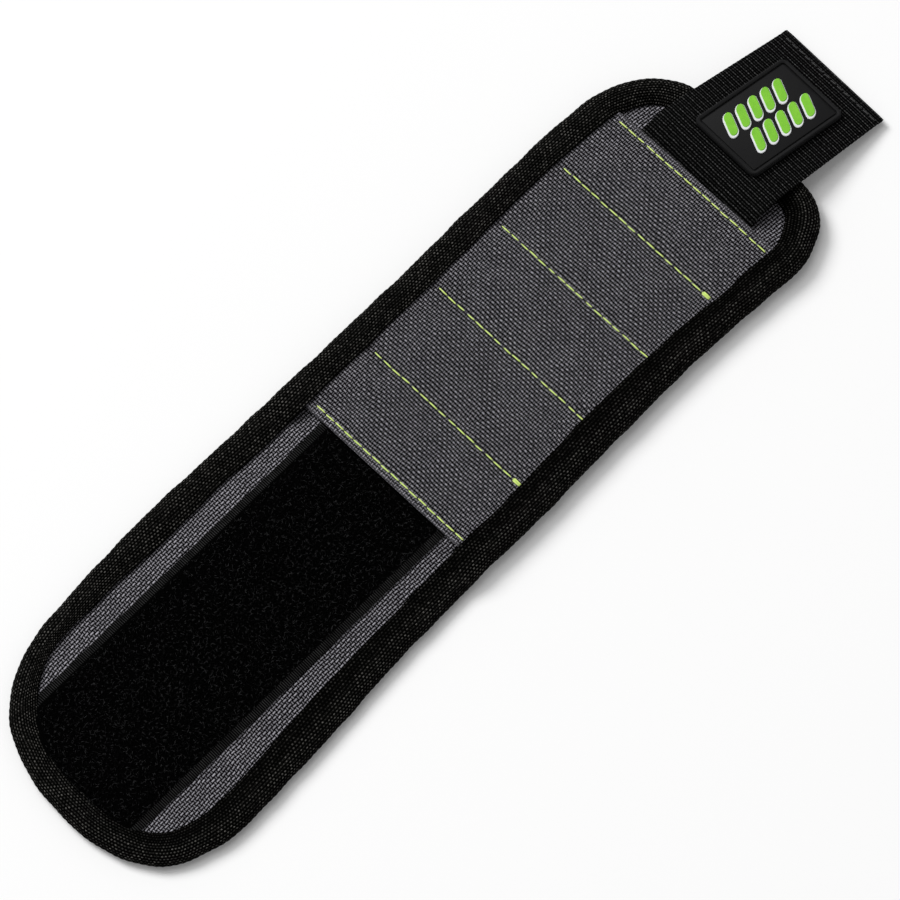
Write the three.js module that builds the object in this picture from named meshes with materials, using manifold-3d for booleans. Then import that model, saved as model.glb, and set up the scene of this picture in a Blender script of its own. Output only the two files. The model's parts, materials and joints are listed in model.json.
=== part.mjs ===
// Magnetic wristband for holding screws and bits: a padded band with five stitched magnet pockets,
// a loop-tape end and a hook tab. Millimetres, +Z up, lying open with its face up.
// +X runs from the round loop end to the hook tab, +Y is the left side seen from the loop end.
// The band bends at its fold lines: the stitched seams, the two hems and two bends in the loop end.
// Each fabric layer is one strip on the real band, and is cut here at every fold line.
import * as THREE from "three";
import { mergeVertices } from "three/addons/utils/BufferGeometryUtils.js";
import Module from "manifold-3d";

const wasm = await Module();
wasm.setup();

// Lengths along the band
const LOOP_LENGTH = 142;
const LOOP_FOLDS = 3;
const POCKET_LENGTHS = [24.5, 28.5, 28, 27, 23];
const HEM = 2.5;
const FLAP_LENGTH = 22;

// Widths, end radii and thicknesses of the bound band
const LOOP_END_WIDTH = 88;
const POCKET_WIDTH = 84;
const LOOP_END_RADIUS = 40;
const TAB_END_RADIUS = 26;
const LOOP_THICKNESS = 5.6;
const POCKET_THICKNESS = 8;

// Binding tape, folded over the band's edge
const BINDING_WIDTH = 10;
const BINDING_WALL = 1.5;
const BINDING_LIP = 1.2;
const BINDING_ROUND = 2;

// Fabric layers and the clearances between them
const FACE = 0.8;
const CLEAR = 0.3;
const FOLD_GAP = 0.6;
const POCKET_CROWN = 1;
const CROWN_SLOPE = 3.5;
const SEAM_MARGIN = 1.2;

// Magnets and the foam strip that spaces them in each pocket
const MAGNET_DIAMETER = 16;
const MAGNET_THICKNESS = 2;
const MAGNET_PITCH = 20;
const MAGNET_CHAMFER = 0.3;
const CARRIER_RIM = 2;

// Loop tape: a thin woven selvedge on each side of the pile
const TAPE_WIDTH = 50.8;
const TAPE_SELVEDGE = 3;
const SELVEDGE_HEIGHT = 0.35;
const PILE_HEIGHT = 0.7;

// Hook tab: webbing sewn under the hem, a little off centre and askew, drooping past the band's end
const TAB_LENGTH = 56.5;
const TAB_WIDTH = 44;
const TAB_THICKNESS = 1.2;
const TAB_CORNER = 1;
const TAB_OFFSET = -1;
const TAB_SKEW = THREE.MathUtils.degToRad(6.3);
const TIP_SKEW = THREE.MathUtils.degToRad(1.7);
const TAB_DROOP = THREE.MathUtils.degToRad(10);
const TAB_RISE = 9.5;
const HOOK_LENGTH = 22;
const HOOK_WIDTH = 36;
const HOOK_THICKNESS = 1;
const HOOK_END_MARGIN = 2;

// Rubber badge on the tab, with a raised rim and a groove inside the rim
const BADGE_LENGTH = 37.4;
const BADGE_WIDTH = 26.6;
const BADGE_CORNER = 2.2;
const BADGE_INNER_CORNER = 0.4;
const BADGE_THICKNESS = 2.2;
const BADGE_EDGE = 0.6;
const BADGE_RIM = 1.4;
const BADGE_FIELD_DEPTH = 0.5;
const BADGE_GROOVE = 0.6;
const BADGE_END_MARGIN = 8.3;

// Facets on quarter arcs, on rounded edges and on magnets
const ARC_STEPS = 6;
const ROUND_STEPS = 2;
const MAGNET_SIDES = 18;

// Stations along the band, measured from the round loop end
const stitches = POCKET_LENGTHS.reduce(
  (line, length) => [...line, line.at(-1) + length],
  [LOOP_LENGTH + HEM],
);
const pocketsEnd = stitches.at(-1) + HEM;
const bandLength = pocketsEnd + FLAP_LENGTH;
const loopFolds = Array.from({ length: LOOP_FOLDS + 1 }, (_, i) => (LOOP_LENGTH * i) / LOOP_FOLDS);
const pocketFolds = [LOOP_LENGTH, ...stitches.slice(1, -1), pocketsEnd];

// Heights of the layers
const padBottom = CLEAR;
const liningBottom = BINDING_LIP + CLEAR;
const loopFaceTop = LOOP_THICKNESS - BINDING_LIP - CLEAR;
const loopFaceBottom = loopFaceTop - FACE;
const pocketFaceTop = POCKET_THICKNESS - BINDING_LIP - CLEAR;
const pocketFaceBottom = pocketFaceTop - FACE;
const magnetTop = pocketFaceBottom - CLEAR;
const magnetBottom = magnetTop - MAGNET_THICKNESS;
const flapFaceTop = pocketFaceBottom;
const flapFaceBottom = flapFaceTop - FACE;
const above = POCKET_THICKNESS + 1;

const fabric = new THREE.MeshStandardMaterial({ color: 0x4a494e, roughness: 0.9, metalness: 0 });
const bindingTape = new THREE.MeshStandardMaterial({ color: 0x17161a, roughness: 0.85, metalness: 0 });
const liningMesh = new THREE.MeshStandardMaterial({ color: 0x1e1e21, roughness: 0.95, metalness: 0 });
const loopPile = new THREE.MeshStandardMaterial({ color: 0x121214, roughness: 1, metalness: 0 });
const webbing = new THREE.MeshStandardMaterial({ color: 0x1b1a1e, roughness: 0.8, metalness: 0 });
const hookTape = new THREE.MeshStandardMaterial({ color: 0x141416, roughness: 0.6, metalness: 0 });
const rubber = new THREE.MeshStandardMaterial({ color: 0x2c2d30, roughness: 0.55, metalness: 0 });
const foam = new THREE.MeshStandardMaterial({ color: 0x3c3c40, roughness: 1, metalness: 0 });
const nickel = new THREE.MeshStandardMaterial({ color: 0xc9c9c6, roughness: 0.25, metalness: 1 });

// Solids: a closed geometry for joining and cutting, and back to a mesh
function solid(geometry) {
  const bare = geometry.clone();
  bare.deleteAttribute("normal");
  bare.deleteAttribute("uv");
  const merged = mergeVertices(bare, 1e-4);
  return new wasm.Manifold(
    new wasm.Mesh({
      numProp: 3,
      vertProperties: merged.attributes.position.array,
      triVerts: new Uint32Array(merged.index.array),
    }),
  );
}

function geometryOf(body) {
  const { vertProperties, triVerts } = body.getMesh();
  const geometry = new THREE.BufferGeometry();
  geometry.setAttribute("position", new THREE.BufferAttribute(vertProperties, 3));
  geometry.setIndex(new THREE.BufferAttribute(triVerts, 1));
  geometry.computeVertexNormals();
  return geometry;
}

function block(x0, x1, y0, y1, z0, z1) {
  const box = new THREE.BoxGeometry(x1 - x0, y1 - y0, z1 - z0);
  return solid(box.translate((x0 + x1) / 2, (y0 + y1) / 2, (z0 + z1) / 2));
}

function prism(shape, bottom, top) {
  const options = { depth: top - bottom, bevelEnabled: false, curveSegments: ARC_STEPS };
  return solid(new THREE.ExtrudeGeometry(shape, options).translate(0, 0, bottom));
}

// A prism whose top and bottom edges are rounded by `round` in height and drawn in by `slope`
function roundedPrism(shape, bottom, top, round, slope) {
  const options = {
    depth: top - bottom - 2 * round,
    bevelThickness: round,
    bevelSize: slope,
    bevelOffset: -slope,
    bevelSegments: ROUND_STEPS,
    curveSegments: ARC_STEPS,
  };
  return solid(new THREE.ExtrudeGeometry(shape, options).translate(0, 0, bottom + round));
}

// The band's outline in plan, drawn in by `inset`: both ends rounded, wider at the loop end
function bandOutline(inset) {
  const loopHalf = LOOP_END_WIDTH / 2 - inset;
  const pocketHalf = POCKET_WIDTH / 2 - inset;
  const loopRadius = LOOP_END_RADIUS - inset;
  const tabRadius = TAB_END_RADIUS - inset;
  const loopCentre = inset + loopRadius;
  const tabCentre = bandLength - inset - tabRadius;
  const loopSide = loopHalf - loopRadius;
  const tabSide = pocketHalf - tabRadius;
  const outline = new THREE.Shape();
  outline.moveTo(loopFolds[1], -loopHalf);
  outline.lineTo(LOOP_LENGTH, -pocketHalf);
  outline.absarc(tabCentre, -tabSide, tabRadius, -Math.PI / 2, 0, false);
  outline.absarc(tabCentre, tabSide, tabRadius, 0, Math.PI / 2, false);
  outline.lineTo(LOOP_LENGTH, pocketHalf);
  outline.lineTo(loopFolds[1], loopHalf);
  outline.absarc(loopCentre, loopSide, loopRadius, Math.PI / 2, Math.PI, false);
  outline.absarc(loopCentre, -loopSide, loopRadius, Math.PI, Math.PI * 1.5, false);
  outline.closePath();
  return outline;
}

function roundedRectangle(length, width, radius) {
  const x = length / 2 - radius;
  const y = width / 2 - radius;
  const outline = new THREE.Shape();
  outline.absarc(x, y, radius, 0, Math.PI / 2, false);
  outline.absarc(-x, y, radius, Math.PI / 2, Math.PI, false);
  outline.absarc(-x, -y, radius, Math.PI, Math.PI * 1.5, false);
  outline.absarc(x, -y, radius, Math.PI * 1.5, Math.PI * 2, false);
  outline.closePath();
  return outline;
}

// A stretch of the band between two fold lines, from side to side or on one side only
const farOut = LOOP_END_WIDTH;
function stretch(from, to, side = 0) {
  const start = from > 0 ? from + FOLD_GAP / 2 : -1;
  const end = to < bandLength ? to - FOLD_GAP / 2 : bandLength + 1;
  const right = side > 0 ? 0 : -farOut;
  const left = side < 0 ? 0 : farOut;
  return block(start, end, right, left, -1, above);
}

const wristband = new THREE.Group();
const band = new THREE.Group();
wristband.add(band);

function addPiece(name, body, material, parent = band) {
  const geometry = body.isBufferGeometry ? body : geometryOf(body);
  const piece = new THREE.Mesh(geometry, material);
  piece.name = name;
  parent.add(piece);
  return piece;
}

// Binding tape: rounded outer edge, two lips and a slot that takes the edges of the layers
function bindingRing(thickness, slotTop) {
  const outside = roundedPrism(bandOutline(0), 0, thickness, BINDING_ROUND, BINDING_ROUND);
  const window = prism(bandOutline(BINDING_WIDTH), -1, above);
  const slot = prism(bandOutline(BINDING_WALL), BINDING_LIP, slotTop);
  return outside.subtract(window).subtract(slot);
}

// Padded lining: its edge sits in the binding's slot, its cushion fills the window below
function lining(from, to, top) {
  const edge = prism(bandOutline(BINDING_WALL + CLEAR), liningBottom, top);
  const cushion = prism(bandOutline(BINDING_WIDTH + CLEAR), padBottom, top);
  return edge.add(cushion).intersect(stretch(from, to));
}

function facePanel(from, to, bottom, top) {
  return prism(bandOutline(BINDING_WALL + CLEAR), bottom, top).intersect(stretch(from, to));
}

// Loop end: face fabric, lining, loop tape and binding in three stretches
const loopBinding = bindingRing(LOOP_THICKNESS, loopFaceTop + CLEAR);
const tapeBottom = loopFaceTop + CLEAR;
const tapeWindow = prism(bandOutline(BINDING_WIDTH + CLEAR), 0, above);
const tapeHalf = TAPE_WIDTH / 2;
const pileHalf = tapeHalf - TAPE_SELVEDGE;
const selvedges = block(0, LOOP_LENGTH, -tapeHalf, tapeHalf, tapeBottom, tapeBottom + SELVEDGE_HEIGHT);
const pile = block(0, LOOP_LENGTH, -pileHalf, pileHalf, tapeBottom, tapeBottom + PILE_HEIGHT);
const loopTape = selvedges.add(pile).intersect(tapeWindow);
for (let i = 0; i < LOOP_FOLDS; i++) {
  const name = `loop_${i + 1}`;
  const from = loopFolds[i];
  const to = loopFolds[i + 1];
  addPiece(`${name}_face`, facePanel(from, to, loopFaceBottom, loopFaceTop), fabric);
  addPiece(`${name}_lining`, lining(from, to, loopFaceBottom - CLEAR), liningMesh);
  addPiece(`${name}_tape`, loopTape.intersect(stretch(from, to)), loopPile);
  if (i === 0) {
    addPiece(`${name}_binding`, loopBinding.intersect(stretch(from, to)), bindingTape);
  } else {
    addPiece(`${name}_binding_left`, loopBinding.intersect(stretch(from, to, 1)), bindingTape);
    addPiece(`${name}_binding_right`, loopBinding.intersect(stretch(from, to, -1)), bindingTape);
  }
}

// Magnet pockets: crowned face, lining, foam strip with three magnets, and binding
const magnetRadius = MAGNET_DIAMETER / 2;
const magnetProfile = [
  new THREE.Vector2(0, 0),
  new THREE.Vector2(magnetRadius - MAGNET_CHAMFER, 0),
  new THREE.Vector2(magnetRadius, MAGNET_CHAMFER),
  new THREE.Vector2(magnetRadius, MAGNET_THICKNESS - MAGNET_CHAMFER),
  new THREE.Vector2(magnetRadius - MAGNET_CHAMFER, MAGNET_THICKNESS),
  new THREE.Vector2(0, MAGNET_THICKNESS),
];
const magnetGeometry = new THREE.LatheGeometry(magnetProfile, MAGNET_SIDES).rotateX(Math.PI / 2);
const magnetRows = { left: MAGNET_PITCH, centre: 0, right: -MAGNET_PITCH };
const crownWidth = POCKET_WIDTH - 2 * (BINDING_WIDTH + CLEAR);
const carrierWidth = 2 * MAGNET_PITCH + MAGNET_DIAMETER + 2 * (CARRIER_RIM + CLEAR);
const carrierLength = MAGNET_DIAMETER + 2 * (CARRIER_RIM + CLEAR);

function pocketFace(from, to, centre, length) {
  const crownTop = pocketFaceTop + POCKET_CROWN;
  const crownBase = pocketFaceTop - POCKET_CROWN;
  const crownShape = roundedRectangle(length - 2 * SEAM_MARGIN, crownWidth, CROWN_SLOPE + SEAM_MARGIN);
  const cushion = roundedPrism(crownShape, crownBase - POCKET_CROWN, crownTop, POCKET_CROWN, CROWN_SLOPE);
  const upper = block(from, to, -farOut, farOut, pocketFaceBottom, above);
  const crown = cushion.translate(centre, 0, 0).intersect(upper);
  return facePanel(from, to, pocketFaceBottom, pocketFaceTop).add(crown);
}

function magnetSeat(y) {
  const hole = new THREE.CylinderGeometry(
    magnetRadius + CLEAR,
    magnetRadius + CLEAR,
    MAGNET_THICKNESS * 2,
    MAGNET_SIDES,
  );
  return solid(hole.rotateX(Math.PI / 2).translate(0, y, MAGNET_THICKNESS / 2));
}

let carrier = prism(roundedRectangle(carrierLength, carrierWidth, CARRIER_RIM), 0, MAGNET_THICKNESS);
for (const y of Object.values(magnetRows)) {
  carrier = carrier.subtract(magnetSeat(y));
}

const pocketBinding = bindingRing(POCKET_THICKNESS, pocketFaceTop + CLEAR);
POCKET_LENGTHS.forEach((length, i) => {
  const name = `pocket_${i + 1}`;
  const from = pocketFolds[i];
  const to = pocketFolds[i + 1];
  const centre = (stitches[i] + stitches[i + 1]) / 2;
  addPiece(`${name}_face`, pocketFace(from, to, centre, length), fabric);
  addPiece(`${name}_lining`, lining(from, to, magnetBottom - CLEAR), liningMesh);
  addPiece(`${name}_carrier`, carrier, foam).position.set(centre, 0, magnetBottom);
  for (const [row, y] of Object.entries(magnetRows)) {
    addPiece(`${name}_magnet_${row}`, magnetGeometry, nickel).position.set(centre, y, magnetBottom);
  }
  addPiece(`${name}_binding_left`, pocketBinding.intersect(stretch(from, to, 1)), bindingTape);
  addPiece(`${name}_binding_right`, pocketBinding.intersect(stretch(from, to, -1)), bindingTape);
});

// End flap under the tab
const flapBinding = bindingRing(POCKET_THICKNESS, flapFaceTop + CLEAR);
addPiece("flap_face", facePanel(pocketsEnd, bandLength, flapFaceBottom, flapFaceTop), fabric);
addPiece("flap_lining", lining(pocketsEnd, bandLength, flapFaceBottom - CLEAR), liningMesh);
addPiece("flap_binding", flapBinding.intersect(stretch(pocketsEnd, bandLength)), bindingTape);

// Hook tab in plan: its root is square to the band, and its sides are more askew than its tip
const tabRoot = pocketsEnd + FOLD_GAP / 2;
function onTab(along, across) {
  const x = tabRoot + along * Math.cos(TAB_SKEW) + across * Math.sin(TIP_SKEW);
  const y = TAB_OFFSET - along * Math.sin(TAB_SKEW) + across * Math.cos(TIP_SKEW);
  return new THREE.Vector2(x, y);
}
const tabHalf = TAB_WIDTH / 2;
const cornerAlong = TAB_LENGTH - TAB_CORNER;
const cornerRadius = TAB_CORNER * Math.cos(TAB_SKEW - TIP_SKEW);
const leftCorner = onTab(cornerAlong, tabHalf - TAB_CORNER);
const rightCorner = onTab(cornerAlong, TAB_CORNER - tabHalf);
const tabReach = leftCorner.x + cornerRadius;
const rightRoot = onTab(-tabHalf, -tabHalf);
const leftRoot = onTab(-tabHalf, tabHalf);
const tabOutline = new THREE.Shape();
tabOutline.moveTo(leftRoot.x, leftRoot.y);
tabOutline.lineTo(rightRoot.x, rightRoot.y);
tabOutline.absarc(rightCorner.x, rightCorner.y, cornerRadius, -Math.PI / 2 - TAB_SKEW, -TIP_SKEW, false);
tabOutline.absarc(leftCorner.x, leftCorner.y, cornerRadius, -TIP_SKEW, Math.PI / 2 - TAB_SKEW, false);
tabOutline.closePath();

// Hook tab from the side: it rises from the hem, then lies straight over the end binding's edge
const ledge = new THREE.Vector2(bandLength - BINDING_ROUND, POCKET_THICKNESS + CLEAR);
const tabSlope = Math.tan(TAB_DROOP);
const tabHeight = (x) => ledge.y - (x - ledge.x) * tabSlope;
const tabRootHeight = flapFaceTop + CLEAR;
const crest = tabRoot + TAB_RISE;
const tabEnd = tabReach + 1;
const crestEase = TAB_RISE / 2;
const easeEnd = crest + crestEase;
const tabSide = new THREE.Shape();
tabSide.moveTo(tabRoot, tabRootHeight);
tabSide.quadraticCurveTo(crest - crestEase, tabHeight(crest), easeEnd, tabHeight(easeEnd));
tabSide.lineTo(tabEnd, tabHeight(tabEnd));
tabSide.lineTo(tabEnd, tabHeight(tabEnd) + TAB_THICKNESS);
tabSide.lineTo(easeEnd, tabHeight(easeEnd) + TAB_THICKNESS);
tabSide.quadraticCurveTo(
  crest - crestEase,
  tabHeight(crest) + TAB_THICKNESS,
  tabRoot,
  tabRootHeight + TAB_THICKNESS,
);
tabSide.closePath();
const tabSheet = new THREE.ExtrudeGeometry(tabSide, {
  depth: 2 * farOut,
  bevelEnabled: false,
  curveSegments: ARC_STEPS,
});
tabSheet.rotateX(Math.PI / 2).translate(0, farOut, 0);
addPiece("tab_webbing", solid(tabSheet).intersect(prism(tabOutline, -farOut, farOut)), webbing);

// Hook tape below the tab and badge above it, both in the tab's sloping plane
function tabPlane(along, height) {
  const place = onTab(along, 0);
  const plane = new THREE.Group();
  plane.position.set(place.x, place.y, tabHeight(place.x) + height);
  plane.rotation.set(0, TAB_DROOP, -(TAB_SKEW + TIP_SKEW) / 2, "YZX");
  band.add(plane);
  return plane;
}
const hookBox = new THREE.BoxGeometry(HOOK_LENGTH, HOOK_WIDTH, HOOK_THICKNESS);
hookBox.translate(0, 0, -HOOK_THICKNESS / 2);
const hookPlane = tabPlane(TAB_LENGTH - HOOK_END_MARGIN - HOOK_LENGTH / 2, -CLEAR);
addPiece("tab_hook", hookBox, hookTape, hookPlane);

const badgeBody = roundedPrism(
  roundedRectangle(BADGE_LENGTH, BADGE_WIDTH, BADGE_CORNER),
  0,
  BADGE_THICKNESS,
  BADGE_EDGE,
  BADGE_EDGE,
);
const fieldTop = BADGE_THICKNESS - BADGE_FIELD_DEPTH;
function badgeCut(inset, bottom) {
  const length = BADGE_LENGTH - 2 * inset;
  const width = BADGE_WIDTH - 2 * inset;
  const corner = Math.max(BADGE_CORNER - inset, BADGE_INNER_CORNER);
  return prism(roundedRectangle(length, width, corner), bottom, BADGE_THICKNESS + 1);
}
const groove = badgeCut(BADGE_RIM, fieldTop - BADGE_FIELD_DEPTH);
const fieldBlock = badgeCut(BADGE_RIM + BADGE_GROOVE, fieldTop - BADGE_FIELD_DEPTH);
const field = badgeCut(BADGE_RIM, fieldTop);
const badge = badgeBody.subtract(groove.subtract(fieldBlock)).subtract(field);
const badgePlane = tabPlane(TAB_LENGTH - BADGE_END_MARGIN - BADGE_LENGTH / 2, TAB_THICKNESS + CLEAR);
addPiece("tab_badge", badge, rubber, badgePlane);

// The origin lies on the ground under the middle of the whole length
band.position.x = -tabReach / 2;

export default wristband;
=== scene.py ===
# Magnetic tool wristband, lying open on a table with its face up.
import json
import math

import bpy
import numpy as np
from mathutils import Matrix, Vector

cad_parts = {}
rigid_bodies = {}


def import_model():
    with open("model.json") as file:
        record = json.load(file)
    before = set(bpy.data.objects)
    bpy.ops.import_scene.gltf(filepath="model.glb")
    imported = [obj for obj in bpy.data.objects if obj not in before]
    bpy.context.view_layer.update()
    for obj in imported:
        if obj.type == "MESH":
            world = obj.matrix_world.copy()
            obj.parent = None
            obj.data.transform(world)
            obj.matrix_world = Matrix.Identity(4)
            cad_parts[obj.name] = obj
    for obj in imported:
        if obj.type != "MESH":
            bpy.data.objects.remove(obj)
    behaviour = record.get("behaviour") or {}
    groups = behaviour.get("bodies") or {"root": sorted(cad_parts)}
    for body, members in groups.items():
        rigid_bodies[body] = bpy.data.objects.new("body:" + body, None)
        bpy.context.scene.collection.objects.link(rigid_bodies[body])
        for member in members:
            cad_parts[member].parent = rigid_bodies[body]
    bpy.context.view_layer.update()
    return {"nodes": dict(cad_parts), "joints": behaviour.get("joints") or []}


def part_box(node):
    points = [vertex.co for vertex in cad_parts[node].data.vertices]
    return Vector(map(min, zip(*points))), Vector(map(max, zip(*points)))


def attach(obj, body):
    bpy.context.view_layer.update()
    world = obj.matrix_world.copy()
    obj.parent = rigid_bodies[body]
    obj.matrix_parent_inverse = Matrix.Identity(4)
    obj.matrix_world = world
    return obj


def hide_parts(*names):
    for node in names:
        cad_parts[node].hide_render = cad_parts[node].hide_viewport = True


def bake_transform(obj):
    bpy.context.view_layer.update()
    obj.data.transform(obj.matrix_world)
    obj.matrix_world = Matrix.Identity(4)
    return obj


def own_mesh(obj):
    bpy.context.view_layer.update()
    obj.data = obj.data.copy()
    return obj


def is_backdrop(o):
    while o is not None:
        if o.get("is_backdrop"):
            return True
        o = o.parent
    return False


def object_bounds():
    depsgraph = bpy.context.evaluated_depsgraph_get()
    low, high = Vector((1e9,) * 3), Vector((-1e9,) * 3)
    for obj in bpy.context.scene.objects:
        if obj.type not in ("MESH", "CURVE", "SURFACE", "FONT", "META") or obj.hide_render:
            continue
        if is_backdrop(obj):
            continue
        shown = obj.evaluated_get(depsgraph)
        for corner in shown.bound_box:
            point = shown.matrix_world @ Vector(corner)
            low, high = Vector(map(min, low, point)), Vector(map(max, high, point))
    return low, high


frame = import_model()


# Lining
# Black air mesh over thin foam, cut to the band's outline. It lies against the wrist, under every other
# layer, and its edge is caught in the binding all round.
MM = 0.001
TIP_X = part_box("loop_1_binding")[0].x
BAND_LENGTH = (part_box("flap_binding")[1].x - TIP_X) / MM
LOOP_CORNER = 40.0
END_CORNER = 26.0
HALF_WIDTHS_AT_LOOP_END = ((0, 43.4), (32, 43.7), (60, 44.6), (85, 44.2))
HALF_WIDTHS = (*HALF_WIDTHS_AT_LOOP_END, (122, 43), (160, 42.6), (225, 42.1), (262, 42.6), (300, 42.8))
BOW_AT_LOOP_END = ((0, -6), (20, -4.4), (45, -2.8), (70, -1.3), (100, -0.2))
BOW = (*BOW_AT_LOOP_END, (175, -0.4), (225, 0.3), (255, 0), (300, -4.1))
TUCK = 6.0
LINING_TOP = 2.1
LINING_THICKNESS = 1.8
LINING_EDGE_RISE = 0.9
LINING_RISE_FROM = 13.0
LINING_RISE_RUN = 5.0
QUILT_DEPTH = 0.12
QUILT_ALONG = 2.1
QUILT_ACROSS = 2.3
MESH_HOLE_PITCH = 2.6
BODIES = ("loop_1", "loop_2", "loop_3", "pocket_1", "pocket_2", "pocket_3", "pocket_4", "pocket_5", "flap")
LOOP_END_REACH = 13.0
ALONG = (1, 0, 0)
SOFT_ANGLE = math.radians(50)


def smooth(share):
    """Eases a share from 0 to 1, flat at both ends."""
    share = np.clip(share, 0, 1)
    return share * share * (3 - 2 * share)


def through(points, at):
    """Value at a station of a smooth curve through a few points."""
    stations, values = (np.array(column, float) for column in zip(*points))
    slopes = np.gradient(values, stations)
    index = np.clip(np.searchsorted(stations, at) - 1, 0, len(points) - 2)
    gap = stations[index + 1] - stations[index]
    share = np.clip((at - stations[index]) / gap, 0, 1)
    ease = smooth(share)
    start_pull = share * (1 - share) ** 2 * gap * slopes[index]
    end_pull = share * share * (1 - share) * gap * slopes[index + 1]
    return values[index] * (1 - ease) + values[index + 1] * ease + start_pull - end_pull


def corner_cut(reach, radius):
    """How far a round corner draws the side in, at a distance from the band's end."""
    left = radius - np.clip(reach, 0, radius)
    return radius - np.sqrt(radius * radius - left * left)


def half_width(station, inset):
    """Half the band's width at a station, measured inside its edge."""
    side = through(HALF_WIDTHS, station) - inset
    loop_cut = corner_cut(station - inset, LOOP_CORNER - inset)
    end_cut = corner_cut(BAND_LENGTH - inset - station, END_CORNER - inset)
    return side - loop_cut - end_cut


def on_band(station, side, height):
    """Points given by station, side and height in millimetres, laid on the band in metres.

    The soft band bows to its right side as it lies, most at its two ends."""
    bowed = side + through(BOW, station)
    return np.stack([TIP_X + station * MM, bowed * MM, height * MM], 1)


def select_only(*objects):
    bpy.ops.object.select_all(action="DESELECT")
    for each in objects:
        each.select_set(True)
    bpy.context.view_layer.objects.active = objects[0]


def edit_all(piece):
    """Opens a piece in edit mode, with all of it selected."""
    select_only(piece)
    bpy.ops.object.mode_set(mode="EDIT")
    bpy.ops.mesh.select_all(action="SELECT")


def cloth_grid(name, columns, rows, lay):
    """A grid of cloth. lay gives each point its place in the cut, which becomes the UV map, and its lie."""
    bpy.ops.object.select_all(action="DESELECT")
    bpy.ops.mesh.primitive_grid_add(x_subdivisions=columns, y_subdivisions=rows, size=2)
    cloth = bpy.context.object
    cloth.name = name
    mesh = cloth.data
    corners = np.empty(len(mesh.vertices) * 3)
    mesh.vertices.foreach_get("co", corners)
    shares = (corners.reshape(-1, 3)[:, :2] + 1) / 2
    cut, places = lay(shares[:, 0], shares[:, 1])
    mesh.vertices.foreach_set("co", np.asarray(places, np.float32).ravel())
    used = np.empty(len(mesh.loops), np.int32)
    mesh.loops.foreach_get("vertex_index", used)
    mesh.uv_layers.active.uv.foreach_set("vector", np.asarray(cut, np.float32)[used].ravel())
    mesh.update()
    return cloth


def thicken(cloth, thickness):
    """Gives a cloth its thickness, on the side away from its face."""
    select_only(cloth)
    wall = cloth.modifiers.new("thickness", "SOLIDIFY")
    wall.thickness = thickness * MM
    wall.offset = -1
    bpy.ops.object.modifier_apply(modifier=wall.name)


def dress(piece, material):
    piece.data.materials.clear()
    piece.data.materials.append(material)


def finish_cloth(cloth, material):
    dress(cloth, material)
    select_only(cloth)
    bpy.ops.object.shade_smooth_by_angle(angle=SOFT_ANGLE)


def fold_list():
    """The band's fold lines in order: hinge place, the bodies it joins and the stretch that bends."""
    joints = {frozenset((joint["parent"], joint["child"])): joint for joint in frame["joints"]}
    pairs = list(zip(BODIES, BODIES[1:]))
    places = [joints[frozenset(pair)]["pos_m"][0] for pair in pairs]
    middles = [(before + after) / 2 for before, after in zip(places, places[1:])]
    starts = [TIP_X - MM, *middles]
    stops = [*middles, TIP_X + (BAND_LENGTH + 1) * MM]
    folds = []
    for place, pair, start, stop in zip(places, pairs, starts, stops):
        reach = min(place - start, stop - place)
        folds.append({"at": place, "pair": pair, "start": start, "stop": stop, "reach": reach})
    folds[0]["reach"] = LOOP_END_REACH * MM
    return folds


FOLDS = fold_list()


def bend_with_band(piece):
    """Bakes the piece's place into its mesh."""
    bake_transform(piece)


def stand_for(fold, word):
    """Hides the solids that the piece stands for, on both bodies that it crosses."""
    starts = tuple(f"{body}_{word}" for body in fold["pair"])
    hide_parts(*[node for node in frame["nodes"] if node.startswith(starts)])


def cut_to_fold(whole, title):
    """Cuts a layer half way between the fold lines. Returns pairs of piece and fold line."""
    pieces = []
    for number, fold in enumerate(FOLDS, 1):
        piece = whole.copy()
        piece.data = whole.data.copy()
        piece.name = f"{title}_{number}"
        bpy.context.collection.objects.link(piece)
        edit_all(piece)
        bpy.ops.mesh.bisect(plane_co=(fold["start"], 0, 0), plane_no=ALONG, clear_inner=True, use_fill=True)
        bpy.ops.mesh.select_all(action="SELECT")
        bpy.ops.mesh.bisect(plane_co=(fold["stop"], 0, 0), plane_no=ALONG, clear_outer=True, use_fill=True)
        bpy.ops.object.mode_set(mode="OBJECT")
        if piece.data.polygons:
            bpy.ops.object.shade_smooth_by_angle(angle=SOFT_ANGLE)
            bend_with_band(piece)
            pieces.append((piece, fold))
        else:
            bpy.data.objects.remove(piece)
    bpy.data.objects.remove(whole)
    return pieces


def new_material(name):
    material = bpy.data.materials.new(name)
    material.use_nodes = True
    return material, material.node_tree, material.node_tree.nodes["Principled BSDF"]


def grey(level):
    return (level, level, level, 1)


def wire(tree, value, socket):
    """Links a socket, or sets a plain value, on another node's input."""
    if isinstance(value, bpy.types.NodeSocket):
        tree.links.new(value, socket)
    else:
        socket.default_value = value


def finish_surface(tree, surface, colour, roughness, gloss=0.5):
    wire(tree, colour, surface.inputs["Base Color"])
    wire(tree, roughness, surface.inputs["Roughness"])
    surface.inputs["Specular IOR Level"].default_value = gloss


def maths(tree, operation, first, second=0.0, third=0.0, clamp=False):
    node = tree.nodes.new("ShaderNodeMath")
    node.operation = operation
    node.use_clamp = clamp
    for value, socket in zip((first, second, third), node.inputs):
        wire(tree, value, socket)
    return node.outputs[0]


def ramp(tree, value, low, high):
    """Rises from 0 to 1 as the value goes from low to high."""
    node = tree.nodes.new("ShaderNodeMapRange")
    node.interpolation_type = "SMOOTHSTEP"
    wire(tree, value, node.inputs["Value"])
    wire(tree, low, node.inputs["From Min"])
    wire(tree, high, node.inputs["From Max"])
    return node.outputs["Result"]


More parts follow.
